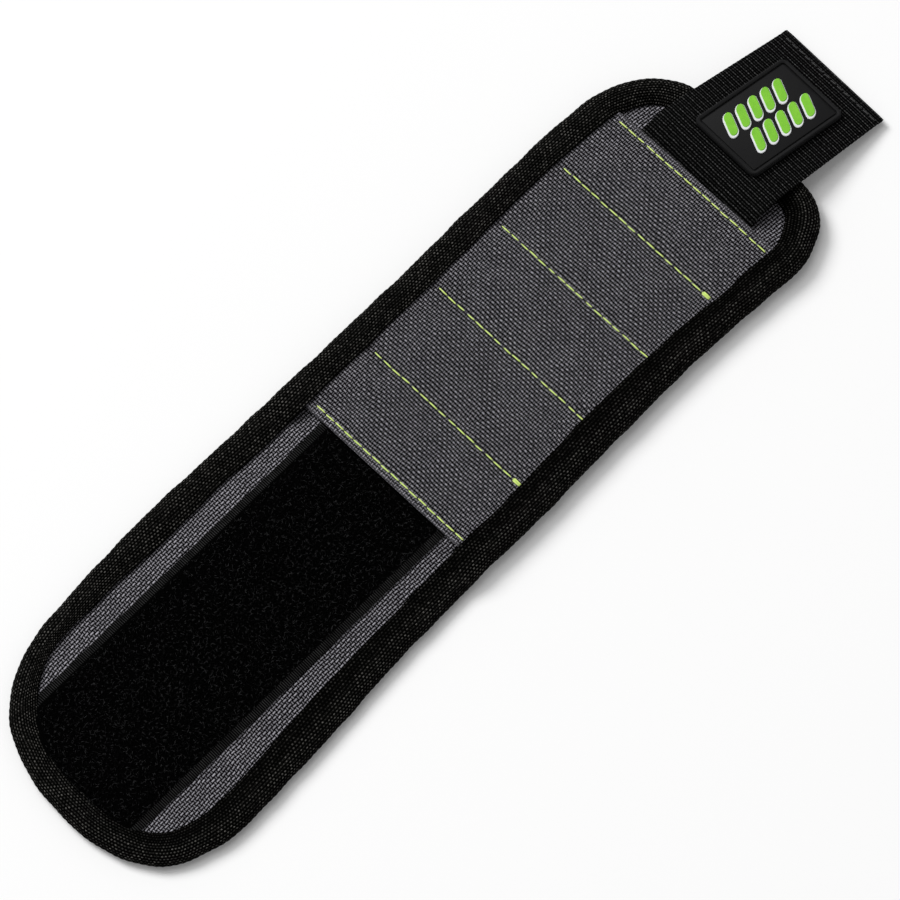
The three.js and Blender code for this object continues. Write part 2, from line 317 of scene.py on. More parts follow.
def mixed(tree, share, first, second):
    """A colour part of the way from the first to the second."""
    node = tree.nodes.new("ShaderNodeMix")
    node.data_type = "RGBA"
    wire(tree, share, node.inputs["Factor"])
    wire(tree, first, node.inputs[6])
    wire(tree, second, node.inputs[7])
    return node.outputs[2]


def speckle(tree, place, scale, detail):
    node = tree.nodes.new("ShaderNodeTexNoise")
    node.inputs["Scale"].default_value = scale
    node.inputs["Detail"].default_value = detail
    tree.links.new(place, node.inputs["Vector"])
    return node.outputs["Fac"]


def raised(tree, height, depth, surface):
    """Bump of a real depth, in millimetres, on a surface."""
    node = tree.nodes.new("ShaderNodeBump")
    node.inputs["Strength"].default_value = 1.0
    node.inputs["Distance"].default_value = depth * MM
    tree.links.new(height, node.inputs["Height"])
    tree.links.new(node.outputs["Normal"], surface.inputs["Normal"])


def cut_place(tree):
    """The place in the cloth's own cut, in millimetres."""
    return tree.nodes.new("ShaderNodeUVMap").outputs["UV"]


def parted(tree, place):
    """A place in the cut as two values, along and across."""
    node = tree.nodes.new("ShaderNodeSeparateXYZ")
    tree.links.new(place, node.inputs[0])
    return node.outputs[0], node.outputs[1]


def air_mesh_material():
    """A black net whose round holes stand in staggered rows."""
    material, tree, surface = new_material("air_mesh")
    place = cut_place(tree)
    along, across = parted(tree, place)
    row_gap = math.sqrt(3)
    along = maths(tree, "DIVIDE", along, MESH_HOLE_PITCH)
    across = maths(tree, "DIVIDE", across, MESH_HOLE_PITCH * row_gap)
    nearest = 1.0
    for shift in (0.0, 0.5):
        dx = maths(tree, "SUBTRACT", maths(tree, "FRACT", maths(tree, "ADD", along, shift)), 0.5)
        dy = maths(tree, "SUBTRACT", maths(tree, "FRACT", maths(tree, "ADD", across, shift)), 0.5)
        dy = maths(tree, "MULTIPLY", dy, row_gap)
        square = maths(tree, "ADD", maths(tree, "MULTIPLY", dx, dx), maths(tree, "MULTIPLY", dy, dy))
        nearest = maths(tree, "MINIMUM", nearest, maths(tree, "SQRT", square))
    net = ramp(tree, nearest, 0.20, 0.36)
    yarn = speckle(tree, place, 2.2, 3.0)
    lit = mixed(tree, yarn, (0.012, 0.012, 0.013, 1), (0.032, 0.032, 0.034, 1))
    finish_surface(tree, surface, mixed(tree, net, grey(0.002), lit), 0.85)
    raised(tree, maths(tree, "ADD", net, maths(tree, "MULTIPLY", yarn, 0.15)), 0.6, surface)
    return material


def lay_lining(along, across):
    station = TUCK + along * (BAND_LENGTH - 2 * TUCK)
    side = (across * 2 - 1) * half_width(station, TUCK)
    inset = half_width(station, 0) - np.abs(side)
    rise = LINING_EDGE_RISE * smooth((LINING_RISE_FROM - inset) / LINING_RISE_RUN)
    quilt = QUILT_DEPTH * np.sin(station / QUILT_ALONG) * np.sin(side / QUILT_ACROSS)
    return np.stack([station, side], 1), on_band(station, side, LINING_TOP + rise + quilt)


lining = cloth_grid("lining", 150, 36, lay_lining)
thicken(lining, LINING_THICKNESS)
finish_cloth(lining, air_mesh_material())
for piece, fold in cut_to_fold(lining, "lining"):
    stand_for(fold, "lining")


# Magnets and their carriers
# Three nickel-plated disc magnets sit in each pocket, in a strip of black foam that keeps them apart.
# They are loose in the sewn pocket and are hidden by the panel.
def own_place(tree):
    """The place in the piece itself, in metres."""
    return tree.nodes.new("ShaderNodeTexCoord").outputs["Object"]


def nickel_material():
    material, tree, surface = new_material("nickel_plate")
    cloud = speckle(tree, own_place(tree), 900.0, 3.0)
    colour = mixed(tree, cloud, (0.52, 0.50, 0.46, 1), (0.64, 0.62, 0.58, 1))
    finish_surface(tree, surface, colour, maths(tree, "MULTIPLY_ADD", cloud, 0.2, 0.2))
    surface.inputs["Metallic"].default_value = 1.0
    return material


def foam_material():
    material, tree, surface = new_material("black_foam")
    cell = tree.nodes.new("ShaderNodeTexVoronoi")
    cell.inputs["Scale"].default_value = 1800.0
    tree.links.new(own_place(tree), cell.inputs["Vector"])
    bubble = cell.outputs["Distance"]
    colour = mixed(tree, bubble, (0.02, 0.02, 0.021, 1), (0.045, 0.045, 0.047, 1))
    finish_surface(tree, surface, colour, 0.95)
    raised(tree, bubble, 0.2, surface)
    return material


nickel = nickel_material()
foam = foam_material()
for name, node in frame["nodes"].items():
    if "magnet" in name or "carrier" in name:
        dress(node, nickel if "magnet" in name else foam)


# Base fabric
# Charcoal ballistic nylon in a coarse plain weave. One panel faces the loop end and a short one the tab end.
# Both run under the pocket panel's hems and into the binding.
NYLON_THICKNESS = 0.6
BASE_WIDTH = 75.0
LOOP_FACE = 4.1
LOOP_FACE_FALL = 0.85
FLAP_FACE = 4.8
FLAP_FACE_FALL = 0.5
FLAT_HALF = 24.0
FALL_HALF = 36.0
FALL_CURVE = 1.2
HEM_START = (FOLDS[2]["at"] - TIP_X) / MM
HEM_END = (FOLDS[7]["at"] - TIP_X) / MM
UNDER_HEM = 8.0
NYLON_DIM = (0.2, 0.194, 0.214)
NYLON_CLEAR = (0.34, 0.33, 0.363)
NYLON_GAPS = (0.0006, 0.0006, 0.0007, 1)
NYLON_WANDER = 1.6


def dome(tree, offset, half, power):
    """Falls from 1 at no offset to 0 at half a width, rounder for a low power."""
    share = maths(tree, "DIVIDE", maths(tree, "ABSOLUTE", offset), half)
    return maths(tree, "SUBTRACT", 1.0, maths(tree, "POWER", share, power), clamp=True)


def swayed(tree, place, scale, sway):
    """Lets a place wander by slow noise, as yarns do. Returns the noise and the new place."""
    noise = tree.nodes.new("ShaderNodeTexNoise")
    noise.inputs["Scale"].default_value = scale
    tree.links.new(place, noise.inputs["Vector"])
    move = tree.nodes.new("ShaderNodeVectorMath")
    move.operation = "MULTIPLY_ADD"
    for value, socket in zip((noise.outputs["Color"], sway, place), move.inputs):
        wire(tree, value, socket)
    return noise.outputs["Fac"], move.outputs[0]


def plain_weave_group():
    """Plain weave. Lit is a painted highlight where the yarns that catch the light come over, with the yarns
    that cross them in painted shade, dimmer by Crossing. Tone varies from yarn to yarn."""
    group = bpy.data.node_groups.new("plain_weave", "ShaderNodeTree")
    group.interface.new_socket("Cloth", in_out="INPUT", socket_type="NodeSocketVector")
    for name in ("Float Length", "Yarn Width", "Wander", "Crossing"):
        group.interface.new_socket(name, in_out="INPUT", socket_type="NodeSocketFloat")
    for name in ("Lit", "Height", "Tone"):
        group.interface.new_socket(name, in_out="OUTPUT", socket_type="NodeSocketFloat")
    start = group.nodes.new("NodeGroupInput").outputs
    end = group.nodes.new("NodeGroupOutput").inputs
    noise, place = swayed(group, start["Cloth"], 0.11, start["Wander"])
    along, across = parted(group, place)
    along = maths(group, "DIVIDE", along, start["Float Length"])
    across = maths(group, "DIVIDE", across, start["Yarn Width"])
    row = maths(group, "FLOOR", across)
    repeat = maths(group, "SUBTRACT", maths(group, "ADD", along, row), 0.5)
    from_float = maths(group, "SUBTRACT", maths(group, "FLOORED_MODULO", repeat, 2.0), 1.0)
    from_float = maths(group, "ABSOLUTE", from_float)
    from_row = maths(group, "SUBTRACT", maths(group, "SUBTRACT", across, row), 0.5)
    from_crossing = maths(group, "SUBTRACT", 1.0, from_float)
    weft = maths(group, "MULTIPLY", dome(group, from_float, 0.68, 4), dome(group, from_row, 0.38, 2))
    warp = maths(group, "MULTIPLY", dome(group, from_crossing, 0.33, 2), dome(group, from_row, 0.56, 4))
    patchy = maths(group, "MULTIPLY_ADD", ramp(group, noise, 0.25, 0.75), 0.3, 0.85)
    seen = maths(group, "MULTIPLY", start["Crossing"], patchy, clamp=True)
    # Painted light: the floats that catch the light are lit, and the crossing floats are in painted shade.
    dimmed = maths(group, "MULTIPLY", weft, maths(group, "MULTIPLY_ADD", seen, -0.3, 1.0))
    lit = maths(group, "MAXIMUM", dimmed, maths(group, "MULTIPLY", warp, seen))
    height = maths(group, "MAXIMUM", weft, maths(group, "MULTIPLY", warp, 0.8))
    cells = group.nodes.new("ShaderNodeCombineXYZ")
    group.links.new(maths(group, "ROUND", repeat), cells.inputs[0])
    group.links.new(row, cells.inputs[1])
    chance = group.nodes.new("ShaderNodeTexWhiteNoise")
    chance.noise_dimensions = "2D"
    group.links.new(cells.outputs[0], chance.inputs["Vector"])
    group.links.new(lit, end["Lit"])
    group.links.new(height, end["Height"])
    group.links.new(chance.outputs["Value"], end["Tone"])
    return group


PLAIN_WEAVE = plain_weave_group()


def woven(tree, float_length, yarn_width, wander, crossing, turned=False):
    """Places the weave in a material, on the cloth's own cut. Turned weaves float across the band."""
    place = cut_place(tree)
    if turned:
        turn = tree.nodes.new("ShaderNodeMapping")
        turn.inputs["Rotation"].default_value[2] = math.radians(90)
        tree.links.new(place, turn.inputs["Vector"])
        place = turn.outputs["Vector"]
    weave = tree.nodes.new("ShaderNodeGroup")
    weave.node_tree = PLAIN_WEAVE
    for value, socket in zip((place, float_length, yarn_width, wander, crossing), weave.inputs):
        wire(tree, value, socket)
    return weave.outputs, place


def lightened(colour, bright):
    return (*[part * bright for part in colour], 1)


def nylon_material(name, float_length, yarn_width, turned, bright, crossing, hem_reach, hem_brink):
    """Charcoal nylon. Past the hem's reach from the middle of its cut the cloth is doubled and looks denser,
    and where it folds under, at the brink, a painted highlight lightens it."""
    material, tree, surface = new_material(name)
    from_middle = maths(tree, "ABSOLUTE", parted(tree, cut_place(tree))[0])
    hem = ramp(tree, from_middle, hem_reach - 0.3, hem_reach + 0.3)
    brink = ramp(tree, from_middle, hem_brink - 0.5, hem_brink)
    hem_crossing = maths(tree, "MULTIPLY_ADD", hem, 1 - crossing, crossing)
    weave, place = woven(tree, float_length, yarn_width, NYLON_WANDER, hem_crossing, turned)
    cloud = speckle(tree, place, 0.05, 2.0)
    tone = maths(tree, "MULTIPLY", weave["Tone"], maths(tree, "ADD", cloud, 0.5))
    yarn = mixed(tree, tone, lightened(NYLON_DIM, bright), lightened(NYLON_CLEAR, bright))
    # The doubled hem looks denser, and a painted highlight lightens the brink where the cloth folds under.
    hem_density_and_brink_highlight = maths(tree, "ADD", maths(tree, "MULTIPLY", hem, 0.03), maths(tree, "MULTIPLY", brink, 0.15))
    full = maths(tree, "POWER", ramp(tree, weave["Lit"], 0.2, 1.0), 0.78)
    share = maths(tree, "MAXIMUM", full, hem_density_and_brink_highlight)
    finish_surface(tree, surface, mixed(tree, share, NYLON_GAPS, yarn), 0.7, 0.01)
    raised(tree, weave["Height"], 0.3, surface)
    return material


def cut_area(piece):
    """Area of the flat cut of a piece with two sides, in square metres, from its UV map."""
    mesh = piece.data
    cut = np.empty(len(mesh.loops) * 2, np.float32)
    mesh.uv_layers.active.uv.foreach_get("vector", cut)
    cut = cut.reshape(-1, 2).astype(float)
    area = 0.0
    for polygon in mesh.polygons:
        ring = cut[polygon.loop_start : polygon.loop_start + polygon.loop_total]
        following = np.roll(ring, -1, axis=0)
        area += abs(np.sum(ring[:, 0] * following[:, 1] - ring[:, 1] * following[:, 0])) / 2
    return area / 2 * MM * MM


def declare_tape(piece, width):
    """Works out the flat cut of a tape or panel of that cut width, in millimetres, and as long as its cut;
    the result is not used.
    """
    flat = (width * MM, cut_area(piece) / (width * MM))


def lay_base(start, stop, height, fall):
    """The base fabric lies flat in the middle and falls to the binding at both sides."""

    def lay(along, across):
        station = start + along * (stop - start)
        side = (across * 2 - 1) * half_width(station, TUCK)
        out = np.clip((np.abs(side) - FLAT_HALF) / (FALL_HALF - FLAT_HALF), 0, 1)
        return np.stack([station, side], 1), on_band(station, side, height - fall * out**FALL_CURVE)

    return lay


base_weave = nylon_material("charcoal_nylon_base", 1.16, 1.0, False, 1.34, 0.64, BAND_LENGTH, BAND_LENGTH)
for title, start, stop, height, fall in (
    ("loop_base", TUCK, HEM_START + UNDER_HEM, LOOP_FACE, LOOP_FACE_FALL),
    ("flap_base", HEM_END - UNDER_HEM, BAND_LENGTH - TUCK, FLAP_FACE, FLAP_FACE_FALL),
):
    base = cloth_grid(title, int(stop - start), 60, lay_base(start, stop, height, fall))
    thicken(base, NYLON_THICKNESS)
    finish_cloth(base, base_weave)
    for piece, fold in cut_to_fold(base, title):
        stand_for(fold, "face")
        declare_tape(piece, BASE_WIDTH)


# Loop tape
# Two inch black loop tape, sewn over the loop end: a woven ground with a ribbed selvedge on each long side,
# and a pile of fine curled loops between them. Its ends run under the hem and the binding.
TAPE_HALF = 26.0
TAPE_SHIFT = -0.25
TAPE_THICKNESS = 0.5
TAPE_TUCK = 7.5
TAPE_UNDER_HEM = 1.5
SELVEDGE = 2.6
SELVEDGE_TOP = 4.75
SELVEDGE_ROLL = 0.9
SELVEDGE_DROP = 0.25
PILE_GROUND = 4.95
PILE_STEP = 0.8
PILE_MARGIN = 0.4
PILE_STOP = HEM_START - 0.8
PILE_OVERRUN = 0.2
LIP = 8.6
LIP_PRESS = 0.7
LIP_PRESS_REACH = 2.5
LIP_PRESS_RUN = 3.0
RIB_PITCH = 0.7
CURL_SPACING = 0.78
CURL_SPANS = (0.9, 1.7)
CURL_RISES = (0.35, 0.75)
CURL_LEAN = 0.5
CURL_RADIUS = 0.085
CURL_LEVELS = 5
CURL_SIDES = 3
CURL_SUNK = 0.1


def wave(tree, shape, value, pitch):
    """A wave of a pitch in millimetres, by sine or cosine."""
    return maths(tree, shape, maths(tree, "MULTIPLY", value, 2 * math.pi / pitch))


def loop_ground_material():
    material, tree, surface = new_material("loop_ground")
    place = cut_place(tree)
    along, across = parted(tree, place)
    pile_edge = TAPE_HALF - SELVEDGE
    edge = ramp(tree, maths(tree, "ABSOLUTE", across), pile_edge - 0.2, pile_edge + 0.3)
    rib = maths(tree, "MULTIPLY_ADD", wave(tree, "SINE", along, RIB_PITCH), 0.5, 0.5)
    sharp = maths(tree, "POWER", rib, 3.0)
    fuzz = speckle(tree, place, 3.0, 4.0)
    patch = speckle(tree, place, 0.35, 2.0)
    rib_share = maths(tree, "MULTIPLY", sharp, maths(tree, "MULTIPLY", patch, 1.2), clamp=True)
    ribbed = mixed(tree, rib_share, grey(0.001), grey(0.05))
    ground = mixed(tree, fuzz, grey(0.0003), grey(0.0012))
    finish_surface(tree, surface, mixed(tree, edge, ground, ribbed), 0.9, 0.005)
    height = maths(tree, "ADD", maths(tree, "MULTIPLY", edge, rib), maths(tree, "MULTIPLY", fuzz, 0.4))
    raised(tree, height, 0.25, surface)
    return material


def pile_material():
    material, tree, surface = new_material("loop_pile")
    tuft = ramp(tree, speckle(tree, own_place(tree), 900.0, 2.0), 0.45, 0.72)
    colour = mixed(tree, tuft, grey(0.0006), (0.034, 0.034, 0.035, 1))
    finish_surface(tree, surface, colour, 0.6, 0.01)
    return material


def lay_tape(along, across):
    station = TAPE_TUCK + along * (HEM_START + TAPE_UNDER_HEM - TAPE_TUCK)
    middle = TAPE_SHIFT - through(BOW, station)
    reach = half_width(station, TAPE_TUCK)
    low = np.maximum(middle - TAPE_HALF, -reach)
    high = np.minimum(middle + TAPE_HALF, reach)
    side = low + across * (high - low)
    from_middle = np.abs(side - middle)
    inset = half_width(station, 0) - np.abs(side)
    pile = smooth((TAPE_HALF - SELVEDGE + PILE_STEP / 2 - from_middle) / PILE_STEP)
    edge = smooth((from_middle - TAPE_HALF + SELVEDGE_ROLL) / SELVEDGE_ROLL)
    pressed = smooth((LIP + LIP_PRESS_REACH - np.minimum(inset, station)) / LIP_PRESS_RUN)
    height = SELVEDGE_TOP + pile * (PILE_GROUND - SELVEDGE_TOP) - SELVEDGE_DROP * edge - LIP_PRESS * pressed
    return np.stack([station, side - middle], 1), on_band(station, side, height)


def curl_rings(rng, count):
    """Rings of points round small arched loops that stand at the origin, each with its own turn and lean."""
    span = rng.uniform(*CURL_SPANS, count)
    rise = rng.uniform(*CURL_RISES, count)
    turn = rng.uniform(0, 2 * math.pi, count)
    lean = rng.uniform(-CURL_LEAN, CURL_LEAN, count)
    steps = np.linspace(0, math.pi, CURL_LEVELS)
    forward = np.stack([np.cos(turn), np.sin(turn), np.zeros(count)], 1)[:, None]
    sideways = np.stack([-np.sin(turn), np.cos(turn), np.zeros(count)], 1)[:, None]
    upward = np.array([0, 0, 1.0])
    run = (-np.cos(steps) * span[:, None] / 2)[:, :, None]
    lift = (np.sin(steps) * rise[:, None])[:, :, None]
    sway = (np.sin(steps) * lean[:, None])[:, :, None]
    line = run * forward + sway * sideways + lift * upward
    rings = []
    for angle in np.arange(CURL_SIDES) * 2 * math.pi / CURL_SIDES:
        rings.append(line + CURL_RADIUS * (sideways * math.cos(angle) + upward * math.sin(angle)))
    return np.stack(rings, 2)


def ring_faces(first, levels, count):
    """Faces of a closed shape through rings of points, which are numbered from first on, with capped ends."""
    faces = []
    for level in range(levels - 1):
        start = first + level * count
        for step in range(count):
            a = start + step
            b = start + (step + 1) % count
            faces.append((a, b, b + count, a + count))
    top = first + (levels - 1) * count
    faces.append(tuple(reversed(range(first, first + count))))
    faces.append(tuple(range(top, top + count)))
    return faces


def mesh_piece(name, points, faces):
    mesh = bpy.data.meshes.new(name)
    mesh.from_pydata(points.tolist(), [], faces)
    piece = bpy.data.objects.new(name, mesh)
    bpy.context.collection.objects.link(piece)
    return piece


def pile_piece(name, stations, sides):
    """One mesh of curled loops that stand on the tape's ground."""
    count = len(stations)
    feet = np.stack([stations, sides, np.full(count, PILE_GROUND - CURL_SUNK)], 1)
    rings = curl_rings(np.random.default_rng(count), count)
    points = (rings + feet[:, None, None, :]).reshape(-1, 3)
    faces = []
    for curl in range(count):
        faces += ring_faces(curl * CURL_LEVELS * CURL_SIDES, CURL_LEVELS, CURL_SIDES)
    pile = mesh_piece(name, on_band(*points.T), faces)
    pile.data.shade_smooth()
    return pile


tape = cloth_grid("loop_tape", 136, 52, lay_tape)
thicken(tape, TAPE_THICKNESS)
finish_cloth(tape, loop_ground_material())
pile_finish = pile_material()
pile_half = TAPE_HALF - SELVEDGE - PILE_MARGIN
pile_chance = np.random.default_rng(7)
rows = np.arange(LIP, PILE_STOP + PILE_OVERRUN, CURL_SPACING)
lines = np.arange(-pile_half, pile_half, CURL_SPACING)
curl_station, curl_side = (grid.ravel() for grid in np.meshgrid(rows, lines))
curl_station = curl_station + pile_chance.uniform(-0.5, 0.5, curl_station.size) * CURL_SPACING
curl_side = curl_side + pile_chance.uniform(-0.5, 0.5, curl_side.size) * CURL_SPACING
curl_side = curl_side + TAPE_SHIFT - through(BOW, curl_station)
clear = (np.abs(curl_side) < half_width(curl_station, LIP)) & (curl_station < PILE_STOP)
curl_station, curl_side = curl_station[clear], curl_side[clear]
for piece, fold in cut_to_fold(tape, "loop_tape"):
    stand_for(fold, "tape")
    curl_x = TIP_X + curl_station * MM
    here = (curl_x >= fold["start"]) & (curl_x < fold["stop"])
    pile = pile_piece(piece.name.replace("tape", "pile"), curl_station[here], curl_side[here])
    dress(pile, pile_finish)
    bend_with_band(pile)
    declare_tape(piece, TAPE_HALF * 2)


# Pocket panel
# Charcoal ballistic nylon over the magnets, with its weave turned across the band. Both ends are folded under
# as hems, and six lines of stitching make five pockets, a little crowned over the magnets.
HEM_SEAM = 2.5
POCKET_SEAMS = [(fold["at"] - TIP_X) / MM for fold in FOLDS[3:7]]
SEAMS = [HEM_START + HEM_SEAM, *POCKET_SEAMS, HEM_END - HEM_SEAM]
PANEL_WIDTH = 72.0
PANEL_THICKNESS = 0.45
HEM_ROUND = 0.5
HEM_TURN = math.pi * HEM_ROUND
HEM_UNDER = 6.0
SEAM_HEIGHT = 6.35
CROWN = 0.95
CROWN_CURVE = 0.7
CROWN_HALF = 35.0
CROWN_SHOULDER = 6
SEAM_DIP = 0.25
SEAM_DIP_HALF = 0.9
PUCKER = 0.1
PUCKER_WAVE = 5.3
PUCKER_SHIFT = 2.1
PUCKER_REACH = 4.0
TAB_LEFT = 20.0
TAB_RIGHT = -24.0
TAB_EASE = 4.0
TAB_LIFT_OF_HEM = 0.6
TAB_LIFT_FROM = 9.0
TAB_LIFT_RUN = 8.0


def panel_height(station, side):
    """Height of the panel's face: crowned pockets, dipped seams and a hem that lies over the tab."""
    edges = np.array(SEAMS)
    pocket = np.clip(np.searchsorted(edges, station) - 1, 0, len(SEAMS) - 2)
    share = np.clip((station - edges[pocket]) / (edges[pocket + 1] - edges[pocket]), 0, 1)
    shoulder = 1 - np.clip(np.abs(side) / CROWN_HALF, 0, 1) ** CROWN_SHOULDER
    crown = CROWN * np.sin(math.pi * share) ** CROWN_CURVE * shoulder
    gaps = np.abs(station[:, None] - edges[None, :])
    gap = gaps.min(1)
    dip = SEAM_DIP * np.exp(-((gap / SEAM_DIP_HALF) ** 2))
    pucker = np.sin(2 * math.pi * side / PUCKER_WAVE + gaps.argmin(1) * PUCKER_SHIFT)
    pucker = PUCKER * pucker * np.exp(-gap / PUCKER_REACH)
    right_of_left = smooth((TAB_LEFT + TAB_EASE / 2 - side) / TAB_EASE)
    left_of_right = smooth((side - TAB_RIGHT + TAB_EASE / 2) / TAB_EASE)
    by_hem = smooth((station - HEM_END + TAB_LIFT_FROM) / TAB_LIFT_RUN)
    return SEAM_HEIGHT + crown - dip + pucker + TAB_LIFT_OF_HEM * right_of_left * left_of_right * by_hem


def hem_stops():
    """Distances along the cut panel at which it has points, close together where the hems turn under."""
    top = HEM_END - HEM_START - 2 * HEM_ROUND
    stops = [np.zeros(1)]
    for length, steps in ((HEM_UNDER, 3), (HEM_TURN, 5), (top, 136), (HEM_TURN, 5), (HEM_UNDER, 3)):
        stops.append(stops[-1][-1] + np.linspace(0, length, steps + 1)[1:])
    return np.concatenate(stops)


HEM_STOPS = hem_stops()


def lay_panel(along, across):
    cut = HEM_STOPS[np.rint(along * (len(HEM_STOPS) - 1)).astype(int)]
    middle = HEM_STOPS[-1] / 2
    from_end = np.minimum(cut, HEM_STOPS[-1] - cut)
    angle = np.clip((from_end - HEM_UNDER) / HEM_TURN, 0, 1) * math.pi
    inward = np.clip(HEM_UNDER - from_end, 0, None) + np.clip(from_end - HEM_UNDER - HEM_TURN, 0, None)
    reach = HEM_ROUND - HEM_ROUND * np.sin(angle) + inward
    drop = HEM_ROUND + HEM_ROUND * np.cos(angle)
    station = np.where(cut < middle, HEM_START + reach, HEM_END - reach)
    side = (across * 2 - 1) * half_width(station, TUCK)
    return np.stack([cut - middle, side], 1), on_band(station, side, panel_height(station, side) - drop)


panel = cloth_grid("pocket_panel", len(HEM_STOPS) - 1, 56, lay_panel)
thicken(panel, PANEL_THICKNESS)
hem_reach = (SEAMS[-1] - SEAMS[0]) / 2
hem_brink = (HEM_END - HEM_START) / 2 - HEM_ROUND
panel_weave = nylon_material("charcoal_nylon_panel", 0.98, 1.1, True, 1.12, 0.62, hem_reach, hem_brink)
finish_cloth(panel, panel_weave)
for piece, fold in cut_to_fold(panel, "pocket_panel"):
    stand_for(fold, "face")
    declare_tape(piece, PANEL_WIDTH)


# Seam stitching
# Lime polyester thread, lockstitched across the panel on six lines. Each stitch is a short raised dash whose
# ends go down into the cloth, and two of the lines end in a thick back-tack on the right side.
STITCH_LENGTH = 3.55
STITCH_PITCH = 3.9
STITCH_WANDER = 0.12
STITCH_TURN = 0.03
THREAD = 0.52
THREAD_PROUD = 0.15
THREAD_FLAT = 0.9
SEAM_HALF = 31.6
BACK_TACKS = (1, 4)
BACK_TACK_LENGTH = 3.0
BACK_TACK_THREAD = 1.15
BACK_TACK_SHIFTS = (-0.35, 0.35)
BACK_TACK_TURN = 0.12
BACK_TACK_PROUD = 0.1


def speckled_material(name, dark, light, scale, detail, roughness, depth):
    """A plain finish that varies a little from spot to spot, in colour and in height."""
    material, tree, surface = new_material(name)
    cloud = speckle(tree, own_place(tree), scale, detail)
    finish_surface(tree, surface, mixed(tree, cloud, dark, light), roughness)
    raised(tree, cloud, depth, surface)
    return material


def thread_material(name, dark, light):
    return speckled_material(name, dark, light, 1500.0, 2.0, 0.45, 0.05)


def stitch(length, width, middle, turn):
    """One stitch: a small bead drawn out along the seam, blunt at its ends, laid at its place."""
    bpy.ops.object.select_all(action="DESELECT")
    bpy.ops.mesh.primitive_uv_sphere_add(segments=8, ring_count=6, radius=0.5)
    bead = bpy.context.object
    for corner in bead.data.vertices:
        corner.co.z = math.copysign(math.sqrt(abs(corner.co.z) / 2), corner.co.z)
    size = (width * MM, length * MM, width * MM * THREAD_FLAT)
    edit_all(bead)
    bpy.ops.transform.rotate(value=math.radians(90), orient_axis="X", center_override=(0, 0, 0))
    bpy.ops.transform.resize(value=size, center_override=(0, 0, 0))
    bpy.ops.transform.rotate(value=turn, orient_axis="Z", center_override=(0, 0, 0))
    bpy.ops.transform.translate(value=middle)
    bpy.ops.object.mode_set(mode="OBJECT")
    return bead


def joined(parts, name, material):
    select_only(*parts)
    bpy.ops.object.join()
    whole = bpy.context.object
    whole.name = name
    bpy.ops.object.transform_apply(location=True, rotation=True, scale=True)
    bpy.ops.object.shade_smooth()
    dress(whole, material)
    return whole


lime_thread = thread_material("lime_thread", (0.46, 0.66, 0.09, 1), (0.84, 0.97, 0.34, 1))
stitch_chance = np.random.default_rng(21)
for number, seam in enumerate(SEAMS):
    beads = []
    for side in np.arange(-SEAM_HALF + STITCH_LENGTH / 2, SEAM_HALF, STITCH_PITCH):
        station = np.array([seam + stitch_chance.uniform(-STITCH_WANDER, STITCH_WANDER)])
        height = panel_height(station, np.array([side])) + THREAD * THREAD_PROUD
        turn = stitch_chance.uniform(-STITCH_TURN, STITCH_TURN)
        beads.append(stitch(STITCH_LENGTH, THREAD, on_band(station, side, height)[0], turn))
    if number in BACK_TACKS:
        side = -SEAM_HALF + BACK_TACK_LENGTH / 2
        height = np.array([SEAM_HEIGHT + BACK_TACK_PROUD])
        for shift in BACK_TACK_SHIFTS:
            middle = on_band(np.array([seam + shift]), side, height)[0]
            beads.append(stitch(BACK_TACK_LENGTH, THREAD * BACK_TACK_THREAD, middle, BACK_TACK_TURN * shift))
    line = joined(beads, f"seam_stitches_{number + 1}", lime_thread)
    bend_with_band(line)


# Binding
# Black woven binding tape, folded over the edge of all layers and sewn down all round the band.
# It is a soft round roll, higher along the pockets than round the loop end, where there are no magnets.
BINDING_HALF = 4.5
BINDING_LIP = 10.1
LEFT_LIP_AT_LOOP_END = ((0, 9.4), (17, 8.9), (27, 7.4), (40, 7.3), (60, 8.9), (85, 10.3), (107, 9.8))
LEFT_LIP = (*LEFT_LIP_AT_LOOP_END, (120, 10.2), (150, 9.7), (300, 9.7))
RIGHT_LIP_AT_LOOP_END = ((0, 9.6), (15, 9.8), (38, 10.6), (60, 11.4), (90, 11.2), (120, 10.7))
RIGHT_LIP = (*RIGHT_LIP_AT_LOOP_END, (240, 10.2), (256, 9.3), (272, 10.2), (300, 10.2))
LIP_BLEND = 30.0
BINDING_THICKNESS = 0.9
LOOP_BINDING = 5.6
POCKET_BINDING = 8.0
POCKET_RISE_FROM = 9.5
FLAP_FALL_FROM = 4.0
RISE_RUN = 10.0
LOOP_EDGE = LOOP_FACE - 0.8 * LOOP_FACE_FALL
POCKET_EDGE = SEAM_HEIGHT
FLAP_EDGE = FLAP_FACE - 0.3
BINDING_FLAT = BINDING_LIP - BINDING_HALF
BINDING_ROUND = math.pi * (BINDING_HALF + POCKET_BINDING / 2) / 2
BINDING_CUT = 2 * BINDING_FLAT + BINDING_ROUND
PATH_STEP = 0.45
PATH_LOOK = 0.8
PROFILE_STEPS = 22
MERGE_GAP = 0.02
YARN_PITCH = 2.2
LIP_SHARE = 0.27
LIP_CURVE = 1.6
UNDER_LIP_RISE = 0.35
TOP_RIPPLE = 0.08
LIP_RIPPLE = 0.12
FRAY = 0.12
YARN_FRAY = 0.07
DRAWN_CORNERS = ((11, -33, 1.9), (15, 31, 1.1), (2, 16, -0.7), (297, -27, 1.5), (297, 28, 1.3))
DRAWN_REACH = 14.0
JOIN_CALM = 8.0
# Strength of the painted shade on the binding's lip.
PAINTED_SHADE_STRENGTH = 0.7


